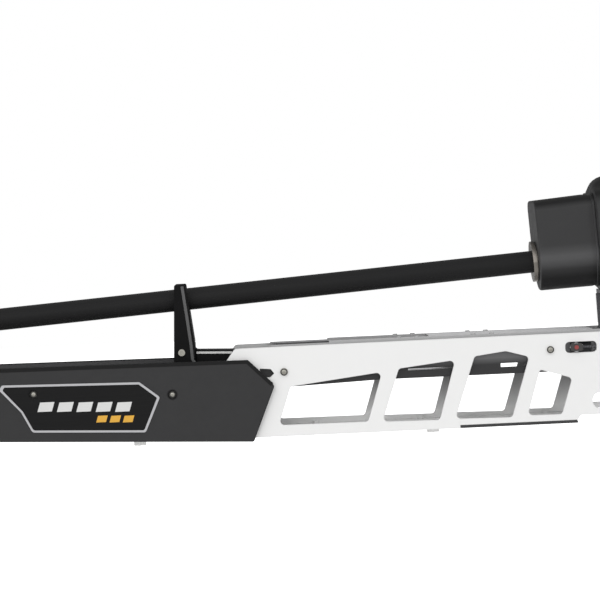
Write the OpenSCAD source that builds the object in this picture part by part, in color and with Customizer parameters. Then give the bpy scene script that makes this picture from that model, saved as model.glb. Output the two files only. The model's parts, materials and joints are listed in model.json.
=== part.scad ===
// Bow-mount electric trolling motor, stowed flat on the deck.
// Millimetres, +Z up, +X to the stern, origin on the deck plane below the arm pivot.

/* [Base] */

// overall width across the two side rails
base_w = 110; // [96:1:130]

// thickness of the side rail web
rail_t = 5; // [3:0.5:6]

// top of the side rails above the deck
rail_top = 120.5; // [114:0.5:126]

// underside of the rails above the deck
rail_bottom = 5; // [4:0.5:8]

// height of the arm pivot above the deck
pivot_z = 88; // [84:1:92]

/* [Arm] */

// distance between the arm pivot and the housing hinge
arm_len = 450; // [440:1:460]

// thickness of each arm side plate
arm_t = 6; // [4:0.5:6]

// width across the outer faces of the arm
arm_w = 94; // [90:1:94]

/* [Shaft] */

// outside diameter of the composite shaft
shaft_d = 28.6; // [25:0.1:32]

// wall thickness of the shaft
shaft_wall = 3.2; // [2:0.1:5]

// upward slope of the stowed shaft towards the head
shaft_slope = 3.6; // [3:0.1:4]

// height of the stowed shaft axis above the deck at the arm pivot
shaft_z = 193; // [190:1:196]

/* [Steering housing] */

// width of the barrel that carries the shaft
barrel_w = 92; // [88:1:98]

// width of the main gear housing
case_w = 112; // [104:1:116]

// wall thickness of the moulded housings
wall = 5; // [3:0.5:6]

/* [Lower unit] */

// outside diameter of the submerged motor
motor_d = 92; // [84:1:100]

// tip diameter of the propeller
prop_d = 280; // [240:1:286]

/* [Head] */

// length of the control head
head_len = 226; // [200:1:240]

// width of the control head
head_w = 118; // [100:1:126]

/* [Hidden] */

$fn = 64;
rail_out = base_w / 2;
rail_in = rail_out - rail_t;
arm_out = arm_w / 2;
arm_in = arm_out - arm_t;
shaft_r = shaft_d / 2;
skin = 3;
recess_r = 6.2;
recess_depth = 3.6;
cover_out = rail_out + 7;
arm_low = pivot_z - 16;
arm_high = pivot_z + 32.5;
cap_t = 4;
crank_x = -29.7;
spring_y = -24;
spring_z = pivot_z - 4.2;
anchor_x = 233.5;
link_y = 29.2;
link_t = 5;
link_b = [0, pivot_z + 8];
link_p = [arm_len + 20.3, pivot_z + 21.6];
latch_x = 377.6;
latch_z = pivot_z + 14.6;
fork_x = -130;
fork_z = shaft_z + fork_x * tan(shaft_slope);
bolt_fork_x = fork_x - 1;
bolt_fork_z = 117.3;
bolt_x = [-190, 190];
bolt_y = 30;
bolt_r = 3.5;
barrel_t0 = 336;
flange_t0 = 409;
case_t0 = 415;
case_t1 = 545;
collar_t0 = 556;
collar_t1 = 588;
head_t0 = 735;
lu_t = -652;
motor_r = motor_d / 2;
gear_m = 1.5;
gear_n = 36;
pinion_n = 12;
gear_t0 = 440;
gear_h = 12;
gland_z = 68;
far_cheek_y0 = 35;
far_cheek_y1 = arm_in - 0.4;
gear_dist = gear_m * (gear_n + pinion_n) / 2 + 0.25;
eps = 0.01;

// ---------- helpers ----------

function unit(v) = v / norm(v);

function corner(a, b, c, r, n) =
  let(
    u = unit([a[0] - b[0], a[1] - b[1]]),
    w = unit([c[0] - b[0], c[1] - b[1]]),
    half = acos(max(-1, min(1, u * w))) / 2,
    o = [b[0], b[1]] + unit(u + w) * r / sin(half),
    s = [b[0], b[1]] + u * r / tan(half) - o,
    e = [b[0], b[1]] + w * r / tan(half) - o,
    a0 = atan2(s[1], s[0]),
    d = atan2(e[1], e[0]) - a0,
    dd = d > 180 ? d - 360 : d < -180 ? d + 360 : d
  )
  [for (k = [0:n]) o + r * [cos(a0 + dd * k / n), sin(a0 + dd * k / n)]];

// outline whose points are [x, y, corner radius]
function rounded(p, n = 5) =
  [for (i = [0:len(p) - 1])
    let(q = corner(p[(i + len(p) - 1) % len(p)], p[i], p[(i + 1) % len(p)], max(p[i][2], 0.01), n))
    for (v = (p[i][2] > 0 ? q : [[p[i][0], p[i][1]]])) v];

module soft(points, n = 5) {
  polygon(rounded(points, n));
}

// flat outline in the XZ plane, thick from y0 to y1
module slab(y0, y1) {
  translate([0, y1, 0])
    rotate([90, 0, 0])
      linear_extrude(height = y1 - y0)
        children();
}

// round bar along Y from y0 to y1 at x, z
module bar(x, z, r, y0, y1) {
  translate([x, y1, z])
    rotate([90, 0, 0])
      cylinder(r = r, h = y1 - y0);
}

module post(x, y, r, z0, z1) {
  translate([x, y, z0])
    cylinder(r = r, h = z1 - z0);
}

module both() {
  children();
  mirror([0, 1, 0])
    children();
}

module block(x0, x1, y0, y1, z0, z1) {
  translate([x0, y0, z0])
    cube([x1 - x0, y1 - y0, z1 - z0]);
}

// frame whose X runs up the stowed shaft
module on_shaft() {
  translate([0, 0, shaft_z])
    rotate([0, -shaft_slope, 0])
      children();
}

// solid of revolution or prism about the shaft line, from t0 to t1
module along(t0, t1) {
  translate([t0, 0, 0])
    rotate([90, 0, 90])
      linear_extrude(height = t1 - t0)
        children();
}

module rod(t0, t1, r, y = 0, z = 0) {
  translate([t0, y, z])
    rotate([0, 90, 0])
      cylinder(r = r, h = t1 - t0);
}

// section with its own corner radii at the bottom and at the top
module arch_section(w, zb, zt, rb, rt) {
  for (s = [-1, 1]) {
    translate([s * (w / 2 - rb), zb + rb])
      circle(r = rb);
    translate([s * (w / 2 - rt), zt - rt])
      circle(r = rt);
  }
  translate([-w / 2, zb + rb])
    square([w, zt - rt - zb - rb]);
  translate([-w / 2 + rb, zb])
    square([w - 2 * rb, rb + 1]);
  translate([-w / 2 + rt, zt - rt - 1])
    square([w - 2 * rt, rt + 1]);
}

// frame of the submerged motor: its own axis is Y
module on_motor() {
  on_shaft()
    translate([lu_t, 0, 0])
      children();
}

module turned_y() {
  rotate([-90, 0, 0])
    rotate_extrude()
      children();
}

// ---------- base ----------

pad_x0 = 224;
pad_x1 = 376;
rail_outline = [[-470, 22, 2], [-45, rail_bottom, 30], [pad_x0, rail_bottom, 0], [pad_x0, 9, 0],
  [pad_x1, 9, 2], [380, 15, 3], [488, 15, 8], [488, 106, 14], [468, rail_top + 1, 8],
  [-62, rail_top, 6], [-74, 104.5, 4], [-90, 103.5, 2], [-98, 90, 3], [-470, 90, 2]];
window_1 = [[7.6, 68.7, 3], [126, 82, 5], [105.6, 19, 5], [-9.4, 19.6, 5]];
window_2 = [[147.8, 85.4, 5], [221, 93.2, 5], [198, 17, 5], [124, 18, 5]];
window_3 = [[246, 96.8, 5], [286.3, 101.7, 8], [316.5, 93, 5], [291.5, 16, 5], [218, 17.4, 5]];
window_4 = [[329.5, 75.8, 3], [371, 63.2, 5], [356, 17, 5], [311.5, 17.5, 5]];
window_5 = [[396, 22.5, 9.5], [472, 22.5, 8], [474, 43, 8], [396, 43, 9.5]];
latch_slot = [[363.4, 95.6, 5], [404, 95.6, 5], [404, 109.7, 5], [363.4, 109.7, 5]];
small_slot = [[-31, 81.6, 1], [-18, 81.8, 1.5], [-12.6, 86.6, 1], [-17, 92.4, 1.5], [-31, 93.6, 1]];
cover_outline = [[-492, 34, 14], [-470, 19.5, 6], [-42.5, 0.5, 3], [-13, 71, 4], [-46, 104.5, 4],
  [-470, 108.5, 8], [-492, 94, 12]];
cover_pocket = [[-487, 37, 10], [-468, 24.5, 4], [-48, 5.5, 2], [-19, 71, 3], [-49, 99.5, 3],
  [-468, 103.5, 6], [-487, 91, 9]];
badge_outline = [[-366, 81.6, 3], [-362, 87.6, 3], [-186, 83.8, 4], [-160.4, 63.4, 3],
  [-180.6, 19, 4], [-325.6, 25.4, 5], [-339, 51.8, 6]];
badge_inner = [[-361.6, 81, 2], [-359, 84.8, 2], [-187, 81, 3], [-164.2, 62.8, 2],
  [-182.4, 21.8, 3], [-324, 28, 4], [-336.8, 53, 5]];
cover_screw_at = [[-322.2, 74.2], [-144.4, 65.8]];
floor_screw_x = [40, 180, 345];
wear_x = 344;
wear_z = 101;

module rail_solid() {
  difference() {
    union() {
      slab(-rail_out, -rail_in)
        soft(rail_outline);
      block(-38, 368, -rail_in - eps, -38, 9, 12);
    }
    slab(-rail_out - 1, -rail_in + 1) {
      soft(window_1);
      soft(window_2);
      soft(window_3, 4);
      soft(window_4);
      soft(window_5, 4);
      soft(latch_slot, 4);
      soft(small_slot, 4);
    }
    bar(0, pivot_z, 5, -rail_out - 1, -rail_in + 1);
    bar(wear_x, wear_z, 2.5, -rail_out - 1, -rail_in + 1);
    for (p = cover_screw_at)
      bar(p[0], p[1], 2.4, -rail_out - 1, -rail_in + 1);
    for (x = floor_screw_x)
      post(x, -44, 2.4, 8, 13);
  }
}

module side_rails() {
  color([0.93, 0.93, 0.92])
    both()
      rail_solid();
}

module floor_plate() {
  color([0.9, 0.9, 0.89])
    difference() {
      slab(-rail_in, rail_in)
        polygon([[-470, 22], [-45, rail_bottom], [pad_x1, rail_bottom], [pad_x1, 9], [-45, 9],
          [-470, 26]]);
      for (x = bolt_x, y = [-bolt_y, bolt_y])
        post(x, y, bolt_r, 0, 20);
      for (x = floor_screw_x, s = [-1, 1])
        post(x, s * 44, 2.4, 4, 10);
    }
}

module floor_screws() {
  color([0.6, 0.6, 0.62])
    both()
      for (x = floor_screw_x) {
        post(x, -44, 2.4, 6, 12);
        post(x, -44, 4.2, 12, 15.5);
      }
}

module mounting_pads() {
  color([0.08, 0.08, 0.08])
    both()
      slab(-rail_out + 0.1, -rail_in)
        soft([[pad_x0, rail_bottom, 1], [pad_x1 + 1, rail_bottom, 1], [pad_x1 - 1, 9, 0],
          [pad_x0, 9, 0]], 3);
}

// spacers round the deck bolts, cut to the slope of the floor plate
module deck_spacers() {
  color([0.88, 0.87, 0.82])
    difference() {
      for (x = bolt_x, y = [-bolt_y, bolt_y])
        post(x, y, 8, 0, x < 0 ? 14 : rail_bottom);
      slab(-rail_in, rail_in)
        polygon([[-470, 22], [-45, rail_bottom], [-45, 60], [-470, 60]]);
      for (x = bolt_x, y = [-bolt_y, bolt_y])
        post(x, y, bolt_r, -1, 20);
    }
}

module cover_solid() {
  difference() {
    slab(-cover_out, -rail_out)
      soft(cover_outline);
    slab(-cover_out + skin, -rail_out + 1)
      soft(cover_pocket);
    for (p = cover_screw_at) {
      bar(p[0], p[1], recess_r, -cover_out - 1, -cover_out + recess_depth);
      bar(p[0], p[1], 2.4, -cover_out, -rail_out + 1);
    }
  }
  difference() {
    for (p = cover_screw_at)
      bar(p[0], p[1], 9, -cover_out + skin - eps, -rail_out);
    for (p = cover_screw_at)
      bar(p[0], p[1], recess_r, -cover_out - 1, -cover_out + recess_depth);
    for (p = cover_screw_at)
      bar(p[0], p[1], 2.4, -cover_out, -rail_out + 1);
  }
}

module side_covers() {
  color([0.24, 0.24, 0.25])
    both()
      cover_solid();
}

module badge_frames() {
  color([0.75, 0.75, 0.77])
    both()
      slab(-cover_out - 1, -cover_out)
        difference() {
          soft(badge_outline, 4);
          soft(badge_inner, 4);
        }
}

module badge_panels() {
  color([0.2, 0.2, 0.21])
    both()
      difference() {
        slab(-cover_out - 0.6, -cover_out)
          soft(badge_inner, 4);
        for (p = cover_screw_at)
          bar(p[0], p[1], recess_r, -cover_out - 2, -cover_out + 1);
      }
}

module side_screws() {
  color([0.5, 0.5, 0.52])
    both() {
      for (p = cover_screw_at)
        difference() {
          union() {
            bar(p[0], p[1], 3.9, -cover_out + 1.2, -cover_out + recess_depth);
            bar(p[0], p[1], 2.4, -cover_out + recess_depth - eps, -rail_in);
          }
          bar(p[0], p[1], 1.5, -cover_out, -cover_out + 2.6);
        }
      difference() {
        union() {
          bar(wear_x, wear_z, 4.6, -rail_out - 3, -rail_out);
          bar(wear_x, wear_z, 2.5, -rail_out - eps, -rail_in + 1);
        }
        bar(wear_x, wear_z, 2.2, -rail_out - 4, -rail_out - 1);
      }
    }
}

module nose_block() {
  color([0.12, 0.12, 0.12])
    slab(-rail_out, rail_out)
      soft([[-488, 26, 6], [-470.1, 20, 2], [-470.1, 38, 2], [-488, 38, 6]]);
}

// tongue that carries the fork, with a beam running back from it
module fork_bracket() {
  color([0.1, 0.1, 0.1])
    difference() {
      union() {
        slab(-12, 12)
          soft([[-141, 10, 0], [-110, 9, 0], [-110, 119, 0], [-116, 124, 4], [-141, 124, 6]]);
        slab(-19, 19)
          soft([[-112.4, 100, 0], [-112.4, 119.5, 0], [-60, 117.4, 3], [-66, 106, 5], [-76, 100, 4]]);
        slab(-19, 19)
          polygon([[-150, 13.3], [-110, 11.7], [-110, 15.7], [-150, 17.3]]);
      }
      slab(-20, 20)
        polygon([[-151, 13.25], [-109, 11.57], [-109, 0], [-151, 0]]);
      bar(bolt_fork_x, bolt_fork_z, 3, -20, 20);
    }
}

module rest_fork() {
  color([0.1, 0.1, 0.1])
    difference() {
      slab(-28, 28)
        soft([[-142, 96, 3], [-114, 96, 3], [-113.5, 126, 2], [-122.5, 205, 2], [-137, 205, 2]]);
      block(-150, -100, -12.1, 12.1, 90, 124.1);
      translate([-150, 0, fork_z])
        rotate([0, 90, 0])
          cylinder(r = 18, h = 60);
      block(-150, -100, -18, 18, fork_z, 210);
      bar(bolt_fork_x, bolt_fork_z, 3, -30, 30);
      bar(bolt_fork_x, bolt_fork_z, 7, 23.4, 30);
    }
}

module rest_pads() {
  color([0.06, 0.06, 0.06]) {
    difference() {
      union() {
        translate([-136, 0, fork_z])
          rotate([0, 90, 0])
            cylinder(r = 18, h = 11);
        block(-136, -125, -18, 18, fork_z, fork_z + 14);
      }
      translate([-140, 0, fork_z])
        rotate([0, 90, 0])
          cylinder(r = 15.4, h = 20);
      block(-140, -120, -15.4, 15.4, fork_z, fork_z + 20);
    }
    slab(-40, 40)
      soft([[-485, 38, 0], [-473, 38, 0], [-474, 41, 1], [-484, 41, 1]]);
  }
}

module fork_bolt() {
  color([0.7, 0.7, 0.7]) {
    bar(bolt_fork_x, bolt_fork_z, 3, -28, 27);
    difference() {
      bar(bolt_fork_x, bolt_fork_z, 4.4, -31, -28);
      bar(bolt_fork_x, bolt_fork_z, 2, -32, -29.5);
    }
    translate([bolt_fork_x, 27.4, bolt_fork_z])
      rotate([90, 0, 0])
        difference() {
          cylinder(r = 5.5, h = 4, $fn = 6);
          translate([0, 0, -1])
            cylinder(r = 3, h = 6);
        }
  }
}

module pivot_bolts() {
  color([0.7, 0.7, 0.68])
    both()
      difference() {
        union() {
          bar(0, pivot_z, 4.6, -rail_out - 3, -rail_out);
          bar(0, pivot_z, 5, -rail_out - eps, -rail_in + eps);
          bar(0, pivot_z, 6, -rail_in, -arm_in + 0.6);
          bar(0, pivot_z, 8.5, -arm_in + 0.6 - eps, -arm_in + 1.8);
        }
        bar(0, pivot_z, 2.4, -rail_out - 4, -rail_out - 1);
      }
}

module link_bracket() {
  color([0.15, 0.15, 0.16])
    difference() {
      union() {
        slab(20, 25)
          soft([[-45, 9, 0], [-16, 9, 0], [4, 72, 8], [12, 92, 6], [8, 106, 8], [-8, 106, 8],
            [-14, 94, 6], [-42, 30, 8]]);
        block(-45, -16, 4, 25, 9, 13);
      }
      bar(link_b[0], link_b[1], 5, 19, 26);
    }
}

module link_pin() {
  color([0.7, 0.7, 0.7]) {
    bar(link_b[0], link_b[1], 5, 20, link_y + link_t + 0.4);
    bar(link_b[0], link_b[1], 7.5, 17, 20);
    bar(link_b[0], link_b[1], 7, link_y + link_t + 0.4, link_y + link_t + 2.4);
  }
}

module spring_anchor() {
  color([0.15, 0.15, 0.16]) {
    for (s = [0, 1])
      translate([0, 2 * s * spring_y, 0])
        mirror([0, s, 0]) {
          slab(spring_y + 6.6, spring_y + 10.5)
            soft([[200, 9, 0], [216, 9, 0], [244, 94, 8], [223, 94, 8]]);
          bar(anchor_x, spring_z, 6, spring_y + 10.5 - eps, spring_y + 13);
        }
    block(200, 216, spring_y - 10.5, spring_y + 10.5, 9, 13);
  }
}

module wear_pads() {
  color([0.88, 0.87, 0.82])
    both()
      difference() {
        slab(-rail_in, -rail_in + 2.5)
          soft([[328, 86, 4], [358, 86, 4], [358, 115, 4], [328, 115, 4]]);
        bar(wear_x, wear_z, 2.5, -rail_in - 1, -rail_in + 4);
      }
}

// ---------- latch ----------

module latch_bar() {
  color([0.7, 0.7, 0.7])
    both()
      bar(latch_x, latch_z, 6, -rail_out - 1, -40.5);
}

module latch_grips() {
  color([0.2, 0.2, 0.2])
    both()
      slab(-rail_out - 4, -rail_out - 1)
        soft([[370, 97.6, 3], [385.5, 97.6, 3], [385.5, 107.8, 3], [370, 107.8, 3]]);
}

module latch_flags() {
  color([0.75, 0.12, 0.08])
    both()
      bar(latch_x, latch_z, 2.8, -rail_out - 5, -rail_out - 4);
}

// two small springs lying in the rail slots
module latch_spring() {
  color([0.6, 0.6, 0.62])
    for (y = [-52.5, 52.5])
      difference() {
        rod(latch_x + 6.4, 403.8, 2.3, y, latch_z);
        rod(latch_x, 406, 1.5, y, latch_z);
      }
}

// ---------- arm ----------

arm_outline = [[-43, pivot_z - 9, 8], [-20, arm_low - 5, 12], [125, arm_low, 0],
  [462, arm_low, 8], [475, pivot_z, 16], [464, arm_high, 14], [-6, arm_high, 6],
  [-22, pivot_z + 18, 10], [-43, pivot_z + 9, 8]];
arm_window = [[160, 81.6, 1.2], [226, 81.6, 1.2], [226, 84.4, 1.2], [160, 84.4, 1.2]];
arm_slot = [[280, 80.6, 1], [312, 80.6, 1], [312, 85.8, 1], [280, 85.8, 1]];
cap_bolt_x = [150, 173, 246, 270];
strip_x0 = 60;
lip_x0 = -16;
lip_t = 2;
strip_x1 = 450;
cap_x0 = 190;
cap_x1 = 402;

module arm_plate_solid() {
  difference() {
    slab(-arm_out, -arm_in)
      soft(arm_outline);
    slab(-arm_out - 1, -arm_in + 1) {
      soft(arm_window, 3);
      soft(arm_slot, 4);
      polygon([[latch_x - 7, arm_low - 1], [latch_x + 7, arm_low - 1], [latch_x + 7, latch_z - 7],
        [latch_x + 21, latch_z - 7], [latch_x + 21, latch_z + 7], [latch_x - 7, latch_z + 7]]);
    }
    bar(0, pivot_z, 9, -arm_out - 1, -arm_in + 1);
    bar(arm_len, pivot_z, 8, -arm_out - 1, -arm_in + 1);
    for (x = cap_bolt_x)
      post(x, -arm_out + arm_t / 2, 2, arm_high - 10, arm_high + 1);
  }
}

module arm_plates() {
  color([0.1, 0.1, 0.11]) {
    difference() {
      both()
        arm_plate_solid();
      block(284, 328, arm_in - 1, arm_out + 1, arm_low - 1, 82.4);
    }
    bar(crank_x, spring_z, 5, -arm_in - eps, spring_y + 8);
    bar(crank_x, spring_z, 8, spring_y + 7, spring_y + 9);
  }
}

module arm_cap() {
  color([0.55, 0.55, 0.56])
    difference() {
      union() {
        block(cap_x0, cap_x1, -arm_out - 1, arm_out + 1, arm_high, arm_high + cap_t);
        both() {
          block(strip_x0, cap_x0 + eps, -arm_out - 1, -36, arm_high, arm_high + cap_t);
          block(lip_x0, strip_x0 + eps, -arm_out - 1, -arm_in, arm_high, arm_high + lip_t);
          block(cap_x1 - eps, strip_x1, -arm_out - 1, -arm_in - 0.4, arm_high, arm_high + cap_t);
        }
      }
      for (x = cap_bolt_x, s = [-1, 1])
        post(x, s * (arm_out - arm_t / 2), 2, arm_high - 1, arm_high + cap_t + 1);
    }
}

module cap_bolts() {
  color([0.6, 0.6, 0.6])
    both()
      for (x = cap_bolt_x) {
        post(x, -arm_out + arm_t / 2, 2, arm_high - 10, arm_high + cap_t);
        post(x, -arm_out + arm_t / 2, 3.2, arm_high + cap_t, arm_high + cap_t + 1.4);
      }
}

module pivot_bushes() {
  color([0.72, 0.56, 0.3])
    both()
      difference() {
        bar(0, pivot_z, 9, -arm_out, -arm_in);
        bar(0, pivot_z, 6.05, -arm_out - 1, -arm_in + 1);
      }
}

// two stub pins: the tie link swings between them
module hinge_pin() {
  color([0.7, 0.7, 0.7]) {
    bar(arm_len, pivot_z, 8, -arm_out - 1, -23.4);
    bar(arm_len, pivot_z, 11, -arm_out - 2, -arm_out);
    difference() {
      bar(arm_len, pivot_z, 12, -arm_in, -31.2);
      bar(arm_len, pivot_z, 8, -arm_in - 1, -31);
    }
    bar(arm_len, pivot_z, 8, far_cheek_y0 - 0.4, arm_out + 1);
    bar(arm_len, pivot_z, 11, arm_out, arm_out + 2);
  }
}

// ---------- tie link and gas spring ----------

module tie_link() {
  color([0.16, 0.16, 0.17])
    difference() {
      union() {
        slab(link_y, link_y + link_t)
          polygon([link_b + [0, 6], link_b - [0, 6], link_p - [0, 6], link_p + [0, 6]]);
        bar(link_b[0], link_b[1], 9.5, link_y, link_y + link_t);
        bar(link_p[0], link_p[1], 11, link_y, link_y + link_t);
      }
      bar(link_b[0], link_b[1], 5.05, link_y - 1, link_y + link_t + 1);
      bar(link_p[0], link_p[1], 7, link_y - 1, link_y + link_t + 1);
    }
}

module gas_cylinder() {
  color([0.09, 0.09, 0.1])
    difference() {
      union() {
        rod(-20, 110, 9, spring_y, spring_z);
        bar(crank_x, spring_z, 10.5, spring_y - 6, spring_y + 6);
        block(-28, -16, spring_y - 6, spring_y + 6, spring_z - 7, spring_z + 7);
      }
      bar(crank_x, spring_z, 5.05, spring_y - 7, spring_y + 7);
      rod(-8, 104, 7.4, spring_y, spring_z);
      rod(100, 112, 3.05, spring_y, spring_z);
    }
}

module gas_rod() {
  color([0.85, 0.85, 0.87]) {
    rod(60, anchor_x - 6, 3, spring_y, spring_z);
    rod(60, 70, 7.3, spring_y, spring_z);
    bar(anchor_x, spring_z, 9, spring_y - 5.5, spring_y + 5.5);
    bar(anchor_x, spring_z, 4, spring_y - 6.2, spring_y + 6.2);
  }
}

// ---------- steering housing ----------

barrel_zb = -38.5;
barrel_zt = 79;

module gear_barrel() {
  color([0.2, 0.2, 0.21])
    on_shaft()
      difference() {
        union() {
          along(barrel_t0, flange_t0)
            arch_section(barrel_w, barrel_zb, barrel_zt, 43, 15);
          along(flange_t0, case_t0)
            arch_section(barrel_w + 6, barrel_zb - 3, barrel_zt + 4, 45, 19);
        }
        along(barrel_t0 + wall, case_t0 + 1)
          arch_section(barrel_w - 2 * wall, barrel_zb + wall, barrel_zt - wall, 38, 10);
        rod(barrel_t0 - 1, barrel_t0 + wall + 1, 22);
      }
}

module main_housing() {
  color([0.16, 0.16, 0.17])
    on_shaft()
      difference() {
        union() {
          along(case_t0, case_t1)
            arch_section(case_w, -46, 88, 30, 28);
          slab(-36, 36)
            soft([[case_t0, 70, 0], [case_t0, 102, 26], [case_t1 - 10, 102, 12],
              [case_t1 - 6, 70, 0]]);
        }
        along(case_t0 - 1, case_t1 - wall)
          arch_section(case_w - 2 * wall, -46 + wall, 88 - wall, 25, 23);
        rod(case_t1 - wall - 1, case_t1 + 1, 26);
        rod(case_t1 - wall - 1, case_t1 + 1, 6, 0, gland_z);
      }
}

module housing_cap() {
  color([0.12, 0.12, 0.13])
    on_shaft()
      difference() {
        along(case_t1, case_t1 + 8)
          arch_section(case_w - 8, -42, 84, 27, 25);
        rod(case_t1 - 1, case_t1 + 9, 19.05);
        rod(case_t1 - 1, case_t1 + 9, 6, 0, gland_z);
        for (s = [-1, 1]) {
          rod(case_t1 - 1, case_t1 + 9, 2, s * 40, 60);
          rod(case_t1 - 1, case_t1 + 9, 2, s * 40, -24);
        }
      }
}

cheek = [[418, 168, 2], [420, 112, 8], [428, 84, 14], [436, 66, 14], [462, 66, 14], [482, 84, 16],
  [496, 120, 20], [506, 176, 2]];

module hinge_bracket() {
  color([0.14, 0.14, 0.15])
    difference() {
      union() {
        slab(-31, -24)
          soft(cheek);
        slab(far_cheek_y0, far_cheek_y1)
          soft(cheek);
        on_shaft()
          block(417, 512, -42, 42, -51, -46.02);
      }
      bar(arm_len, pivot_z, 8.05, -32, 42);
      bar(link_p[0], link_p[1], 5, 32, 42);
      on_shaft()
        block(390, 520, -60, 60, -46.02, 0);
    }
}

module link_stud() {
  bar(link_p[0], link_p[1], 5, link_y - 0.4, far_cheek_y1);
  bar(link_p[0], link_p[1], 8, link_y - 2.4, link_y - 0.4);
}

module shaft_bushing() {
  color([0.78, 0.66, 0.42]) {
    on_shaft()
      difference() {
        union() {
          rod(barrel_t0 - 5, barrel_t0, 26.5);
          rod(barrel_t0 - eps, barrel_t0 + wall + 0.5, 22);
        }
        rod(barrel_t0 - 6, barrel_t0 + 13, shaft_r + 0.06);
      }
  }
}

module housing_screws() {
  color([0.65, 0.65, 0.66]) {
    on_shaft()
      for (y = [-40, 40], z = [-24, 60]) {
        rod(case_t1, case_t1 + 8, 2, y, z);
        rod(case_t1 + 8, case_t1 + 11, 4, y, z);
      }
    link_stud();
  }
}

module cable_gland() {
  color([0.08, 0.08, 0.08])
    on_shaft()
      difference() {
        union() {
          rod(case_t1 - 2, case_t1 + 8, 6, 0, gland_z);
          rod(case_t1 + 8, case_t1 + 22, 9, 0, gland_z);
        }
        rod(case_t1 - 3, case_t1 + 23, 4, 0, gland_z);
      }
}

// straight-flanked gear of n teeth, centred on the X axis
module toothed(n, bore) {
  rp = gear_m * n / 2;
  ro = rp + 0.85 * gear_m;
  ri = rp - 1.2 * gear_m;
  step = 360 / n;
  difference() {
    polygon([for (i = [0:n - 1], k = [0:3])
      let(a = i * step + [-0.28, -0.11, 0.11, 0.28][k] * step, r = (k == 0 || k == 3) ? ri : ro)
      r * [cos(a), sin(a)]]);
    circle(r = bore);
  }
}

module steering_motor() {
  color([0.35, 0.35, 0.37])
    on_shaft() {
      rod(barrel_t0 + wall + 1, gear_t0 - 8, 15.5, 0, gear_dist);
      rod(gear_t0 - 8, gear_t0 - 2, 7, 0, gear_dist);
      rod(gear_t0 - 8, gear_t0 + gear_h + 3, 2.5, 0, gear_dist);
      block(gear_t0 - 14, gear_t0 - 8, -40, 40, gear_dist + 2, gear_dist + 12);
    }
}

module servo_pinion() {
  color([0.75, 0.6, 0.35])
    on_shaft()
      translate([0, 0, gear_dist])
        along(gear_t0, gear_t0 + gear_h)
          rotate(90 + 180 / pinion_n)
            toothed(pinion_n, 2.55);
}

// ---------- rotor ----------

module steering_tube() {
  color([0.85, 0.83, 0.76])
    on_shaft() {
      difference() {
        rod(barrel_t0 + 14, case_t1 + 9, 19);
        rod(barrel_t0 + 13, case_t1 + 10, shaft_r + 0.06);
      }
      along(gear_t0, gear_t0 + gear_h)
        rotate(90)
          toothed(gear_n, 18.99);
    }
}

module depth_collar() {
  color([0.1, 0.1, 0.1])
    on_shaft()
      difference() {
        union() {
          rod(case_t1 + 9, collar_t0 + 2, 24);
          rod(collar_t0 + 2, collar_t1, 28);
          block(collar_t0 + 6, collar_t1 - 4, -13, 13, 20, 36);
        }
        rod(case_t1, collar_t1 + 1, shaft_r + 0.06);
        translate([(collar_t0 + collar_t1) / 2, 0, shaft_r + 1])
          cylinder(r = 4.05, h = 30);
      }
}

module collar_knob() {
  color([0.12, 0.12, 0.12])
    on_shaft()
      translate([(collar_t0 + collar_t1) / 2, 0, 0]) {
        translate([0, 0, shaft_r + 3])
          cylinder(r = 4, h = 20);
        translate([0, 0, 37])
          difference() {
            cylinder(r = 15, h = 14);
            for (a = [0:45:359])
              rotate(a)
                translate([17, 0, -1])
                  cylinder(r = 4, h = 16);
          }
      }
}

// ---------- shaft and head ----------

module shaft() {
  color([0.12, 0.12, 0.12])
    on_shaft()
      difference() {
        rod(-600, head_t0 + 14, shaft_r);
        rod(-601, head_t0 + 15, shaft_r - shaft_wall);
      }
}

// head plan: long axis Y, width along local Z
module head_plan(grow) {
  hw = head_w / 2 + grow;
  l0 = -94 - grow;
  l1 = l0 + head_len + 2 * grow;
  soft([[l0, -hw + 16, 16], [l0 + 18, -hw, 16], [l1 - 70, -hw, 40], [l1, -20, 26], [l1, 20, 26],
    [l1 - 70, hw, 40], [l0 + 18, hw, 16], [l0, hw - 16, 16]], 6);
}

module head_base() {
  color([0.12, 0.12, 0.12])
    on_shaft()
      difference() {
        union() {
          along(head_t0 + 12, head_t0 + 46)
            head_plan(-2);
          rod(head_t0, head_t0 + 14, 32);
        }
        along(head_t0 + 17, head_t0 + 47)
          head_plan(-7);
        rod(head_t0 - 1, head_t0 + 20, shaft_r);
      }
}

module head_cover() {
  color([0.9, 0.9, 0.9])
    on_shaft()
      difference() {
        union() {
          along(head_t0 + 46, head_t0 + 78)
            head_plan(0);
          along(head_t0 + 78, head_t0 + 88)
            head_plan(-12);
        }
        along(head_t0 + 45, head_t0 + 74)
          head_plan(-5);
        for (y = [-62, -36])
          rod(head_t0 + 70, head_t0 + 90, 8.2, y, 0);
      }
}

module head_board() {
  color([0.1, 0.35, 0.18])
    on_shaft() {
      along(head_t0 + 48, head_t0 + 50)
        translate([-75, -38])
          square([150, 76]);
      rod(head_t0 + 50, head_t0 + 62, 9, 50, 0);
      block(head_t0 + 50, head_t0 + 56, -20, 20, -30, -8);
    }
}

module button(y) {
  on_shaft() {
    rod(head_t0 + 68, head_t0 + 90, 8, y, 0);
    rod(head_t0 + 66, head_t0 + 69, 10, y, 0);
  }
}

module power_button() {
  color([0.75, 0.12, 0.08])
    button(-62);
}

module test_button() {
  color([0.3, 0.3, 0.3])
    button(-36);
}

module coil_cord() {
  color([0.07, 0.07, 0.07])
    on_shaft()
      difference() {
        rod(collar_t1 + 1, head_t0 - 1, 24);
        rod(collar_t1, head_t0, 17);
      }
}

// ---------- lower unit ----------

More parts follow.
